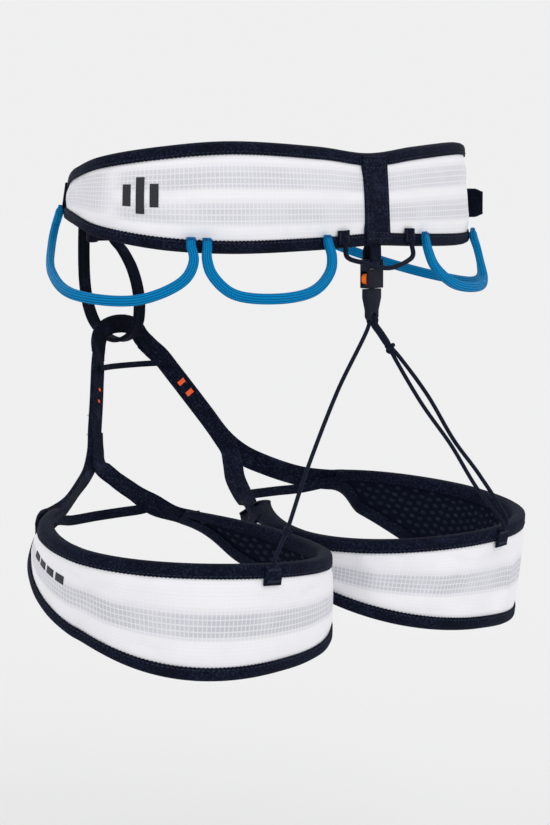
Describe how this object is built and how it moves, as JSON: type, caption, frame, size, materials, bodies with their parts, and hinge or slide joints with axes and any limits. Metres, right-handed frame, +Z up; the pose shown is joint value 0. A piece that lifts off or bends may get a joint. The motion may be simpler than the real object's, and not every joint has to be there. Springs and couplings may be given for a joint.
{
  "type": "climbing harness",
  "caption": "Padded waist belt and two padded leg loops joined by tie-in points and a belay loop, with gear loops and elastic rear risers.",
  "frame": {"origin": "on the wearer's upright axis, at the middle height of the belt's back", "axes": "+Z up, the wearer faces -Y, +X is the wearer's left"},
  "size_m": [0.3812, 0.2874, 0.3142],
  "materials": {
    "white_ripstop": "uncoated ripstop weave with translucent grid bands",
    "navy_mesh": "perforated lining",
    "navy_tape": "woven binding tape and small webbing",
    "black_webbing": "tubular nylon webbing",
    "blue_cord": "braided cover over a stiff core",
    "navy_plastic": "moulded acetal",
    "orange_plastic": "moulded acetal",
    "buckle_alloy": "anodised and tumbled"
  },
  "bodies": {
    "belt": {"belt_shell": "white_ripstop", "belt_lining": "navy_mesh", "belt_top_tape": "navy_tape", "belt_bottom_tape": "navy_tape", "back_patch": "navy_tape", "waist_strap": "black_webbing", "waist_strap_tail": "black_webbing", "waist_strap_fold": "black_webbing", "tail_keeper_front": "navy_tape", "tail_keeper_rear": "navy_tape", "waist_buckle_frame": "buckle_alloy", "tie_in_loop": "black_webbing", "lower_tie_in_arch": "black_webbing", "cross_keeper": "navy_tape", "front_strap_left": "black_webbing", "front_strap_right": "black_webbing", "haul_tab_left": "navy_tape", "haul_tab_right": "navy_tape", "riser_strap": "navy_tape", "riser_buckle_socket": "navy_plastic", "riser_buckle_plug": "navy_plastic", "riser_sleeve_right": "navy_tape", "riser_knot_right": "navy_tape", "riser_cord_left": "navy_tape", "riser_cord_right_inner": "navy_tape", "riser_cord_right_outer": "navy_tape"},
    "belay_loop": {"belay_loop": "black_webbing"},
    "haul_loop": {"haul_loop": "navy_tape"},
    "waist_buckle_slider": {"waist_buckle_slider": "buckle_alloy"},
    "leg_loop_left": {"leg_shell_left": "white_ripstop", "leg_lining_left": "navy_mesh", "leg_top_tape_left": "navy_tape", "leg_bottom_tape_left": "navy_tape", "leg_front_strap_left": "black_webbing", "leg_outer_branch_left": "navy_tape", "leg_inner_branch_left": "navy_tape", "leg_cross_band_left": "navy_tape", "leg_riser_tab_left": "navy_tape", "riser_knot_left": "navy_tape", "riser_cord_left_end": "navy_tape"},
    "gear_loop_rear_left": {"gear_loop_rear_left": "blue_cord"},
    "gear_loop_front_left": {"gear_loop_front_left": "blue_cord"},
    "riser_prong_left": {"riser_prong_left": "orange_plastic"},
    "leg_loop_right": {"leg_shell_right": "white_ripstop", "leg_lining_right": "navy_mesh", "leg_top_tape_right": "navy_tape", "leg_bottom_tape_right": "navy_tape", "leg_front_strap_right": "black_webbing", "leg_outer_branch_right": "navy_tape", "leg_inner_branch_right": "navy_tape", "leg_cross_band_right": "navy_tape", "leg_riser_tab_right": "navy_tape"},
    "gear_loop_rear_right": {"gear_loop_rear_right": "blue_cord"},
    "gear_loop_front_right": {"gear_loop_front_right": "blue_cord"},
    "riser_prong_right": {"riser_prong_right": "orange_plastic"}
  },
  "joints": [
    {"name": "belay_loop_swing", "type": "hinge", "parent": "belt", "child": "belay_loop", "pos_m": [0, -0.156, -0.012], "axis": [1, 0, 0], "range_deg": [-5, 6]},
    {"name": "leg_loop_swing_left", "type": "hinge", "parent": "belt", "child": "leg_loop_left", "pos_m": [0.0357, -0.1279, -0.1209], "axis": [1, 0, 0], "range_deg": [-4, 22], "stiffness_Nm_per_rad": 6, "springref_deg": 1.15, "deforming": ["riser_cord_left"]},
    {"name": "leg_loop_swing_right", "type": "hinge", "parent": "belt", "child": "leg_loop_right", "pos_m": [-0.0357, -0.1279, -0.1209], "axis": [1, 0, 0], "range_deg": [-4, 22], "stiffness_Nm_per_rad": 6, "springref_deg": 1.15, "deforming": ["riser_cord_right_inner", "riser_cord_right_outer"]},
    {"name": "gear_loop_swing_rear_left", "type": "hinge", "parent": "belt", "child": "gear_loop_rear_left", "pos_m": [0.04585, 0.08647, -0.02499], "axis": [0.9534, -0.3016, -0.0059], "range_deg": [0, 55], "stiffness_Nm_per_rad": 0.03},
    {"name": "gear_loop_swing_front_left", "type": "hinge", "parent": "belt", "child": "gear_loop_front_left", "pos_m": [0.13233, 0.05574, -0.02498], "axis": [-0.1206, -0.9849, 0.1245], "range_deg": [0, 55], "stiffness_Nm_per_rad": 0.03},
    {"name": "gear_loop_swing_rear_right", "type": "hinge", "parent": "belt", "child": "gear_loop_rear_right", "pos_m": [-0.04585, 0.08647, -0.02499], "axis": [0.9534, 0.3016, 0.0059], "range_deg": [0, 55], "stiffness_Nm_per_rad": 0.03},
    {"name": "gear_loop_swing_front_right", "type": "hinge", "parent": "belt", "child": "gear_loop_front_right", "pos_m": [-0.13233, 0.05574, -0.02498], "axis": [-0.1206, 0.9849, -0.1245], "range_deg": [0, 55], "stiffness_Nm_per_rad": 0.03},
    {"name": "haul_loop_swing", "type": "hinge", "parent": "belt", "child": "haul_loop", "pos_m": [0.03091, 0.08618, -0.02748], "axis": [1, 0, 0], "range_deg": [0, 70]},
    {"name": "riser_prong_squeeze_left", "type": "hinge", "parent": "belt", "child": "riser_prong_left", "pos_m": [0.0035, 0.0805, -0.0536], "axis": [0, -1, 0], "range_deg": [0, 8], "stiffness_Nm_per_rad": 0.02},
    {"name": "riser_prong_squeeze_right", "type": "hinge", "parent": "belt", "child": "riser_prong_right", "pos_m": [-0.0035, 0.0805, -0.0536], "axis": [0, 1, 0], "range_deg": [0, 8], "stiffness_Nm_per_rad": 0.02},
    {"name": "waist_buckle_slider_tilt", "type": "hinge", "parent": "belt", "child": "waist_buckle_slider", "pos_m": [-0.04177, -0.13541, -0.00628], "axis": [0, 0, 1], "range_deg": [-18, 18]}
  ],
  "couplings": [
    {"joint": "riser_prong_squeeze_right", "follows": "riser_prong_squeeze_left", "ratio": 1}
  ]
}
